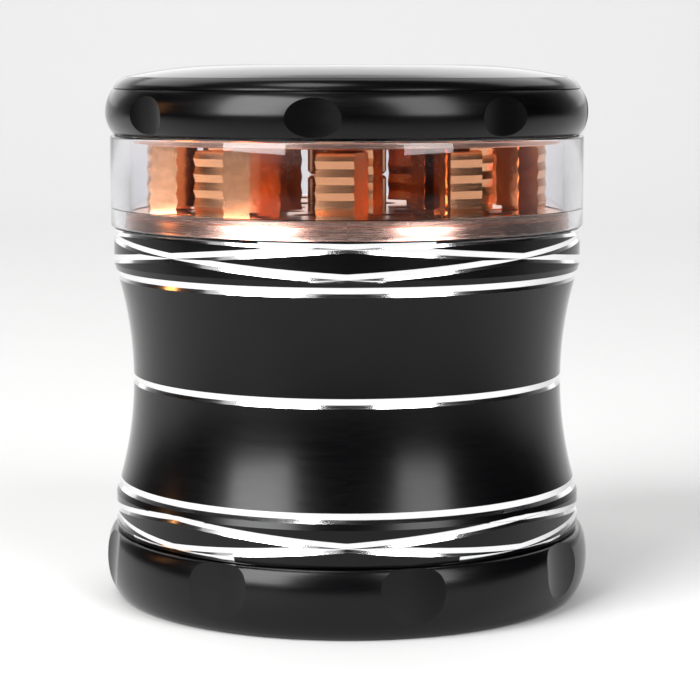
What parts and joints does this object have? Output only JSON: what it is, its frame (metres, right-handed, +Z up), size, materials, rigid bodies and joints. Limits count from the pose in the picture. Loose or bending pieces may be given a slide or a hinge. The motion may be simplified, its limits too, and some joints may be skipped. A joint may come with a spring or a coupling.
{
  "type": "herb grinder",
  "caption": "Round hand grinder: scalloped black lid over a clear window chamber with copper teeth, waisted storage body with a screen, and a scalloped screw-on base tray.",
  "frame": {"origin": "middle of the flat underside of the base tray, on the axis of the grinder", "axes": "+Z up along the turning axis of every unit; -Y towards the front"},
  "size_m": [0.064, 0.064, 0.0699],
  "materials": {
    "black_anodised": "satin black anodised aluminium with bright diamond-cut lines",
    "copper_anodised": "bright rose-gold anodised aluminium, turned and milled",
    "clear_acrylic": "clear polished acrylic",
    "nickel_plate": "nickel-plated magnet",
    "stainless": "fine woven stainless steel screen and its pressed ring",
    "nylon": "natural nylon"
  },
  "bodies": {
    "base": {"base_tray": "black_anodised"},
    "storage_riser": {"screen_ring": "stainless"},
    "storage": {"storage_body": "black_anodised", "screen_mesh": "stainless"},
    "chamber_riser": {"chamber_magnet": "nickel_plate"},
    "chamber": {"chamber_tooth_plate": "copper_anodised", "window_ring": "clear_acrylic"},
    "lid_lifter": {"lid_friction_ring": "nylon"},
    "lid": {"lid_cap": "black_anodised", "lid_tooth_plate": "copper_anodised", "lid_magnet": "nickel_plate"}
  },
  "joints": [
    {"name": "storage_rise", "type": "slide", "parent": "base", "child": "storage_riser", "axis": [0, 0, 1], "range_m": [0, 0.012]},
    {"name": "storage_unscrew", "type": "hinge", "parent": "storage_riser", "child": "storage", "pos_m": [0, 0, 0.012], "axis": [0, 0, 1], "range_deg": [0, 2160]},
    {"name": "chamber_rise", "type": "slide", "parent": "storage", "child": "chamber_riser", "axis": [0, 0, 1], "range_m": [0, 0.012]},
    {"name": "chamber_unscrew", "type": "hinge", "parent": "chamber_riser", "child": "chamber", "pos_m": [0, 0, 0.0465], "axis": [0, 0, 1], "range_deg": [0, 2160]},
    {"name": "lid_lift", "type": "slide", "parent": "chamber", "child": "lid_lifter", "axis": [0, 0, 1], "range_m": [0, 0.03]},
    {"name": "lid_spin", "type": "hinge", "parent": "lid_lifter", "child": "lid", "pos_m": [0, 0, 0.0608], "axis": [0, 0, 1], "continuous": true}
  ],
  "couplings": [
    {"joint": "storage_rise", "follows": "storage_unscrew", "m_per_rad": 0.0003183},
    {"joint": "chamber_rise", "follows": "chamber_unscrew", "m_per_rad": 0.0003183}
  ]
}
